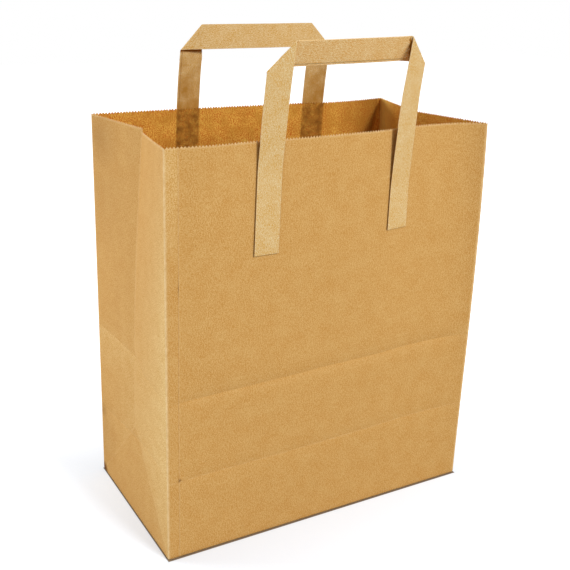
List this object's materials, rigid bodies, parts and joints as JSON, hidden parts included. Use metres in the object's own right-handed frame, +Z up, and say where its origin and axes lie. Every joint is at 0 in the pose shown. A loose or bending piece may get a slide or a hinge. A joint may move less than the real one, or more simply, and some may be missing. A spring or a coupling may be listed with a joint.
{
  "type": "paper carrier bag",
  "caption": "Open self-standing brown kraft paper carrier bag with a folded block bottom, V-fold side gussets, a toothed mouth edge and flat folded tape handles for carrying goods",
  "frame": {"origin": "middle of the base, on the floor", "axes": "+Z up out of the mouth, +X across the width with the lap seam at -X, -Y the front panel"},
  "size_m": [0.26, 0.1532, 0.3645],
  "materials": {
    "kraft_paper": "matte uncoated brown kraft",
    "tape_paper": "matte uncoated light kraft"
  },
  "bodies": {
    "root": {"bag_body": "kraft_paper", "front_handle": "tape_paper", "back_handle": "tape_paper"}
  },
  "joints": []
}
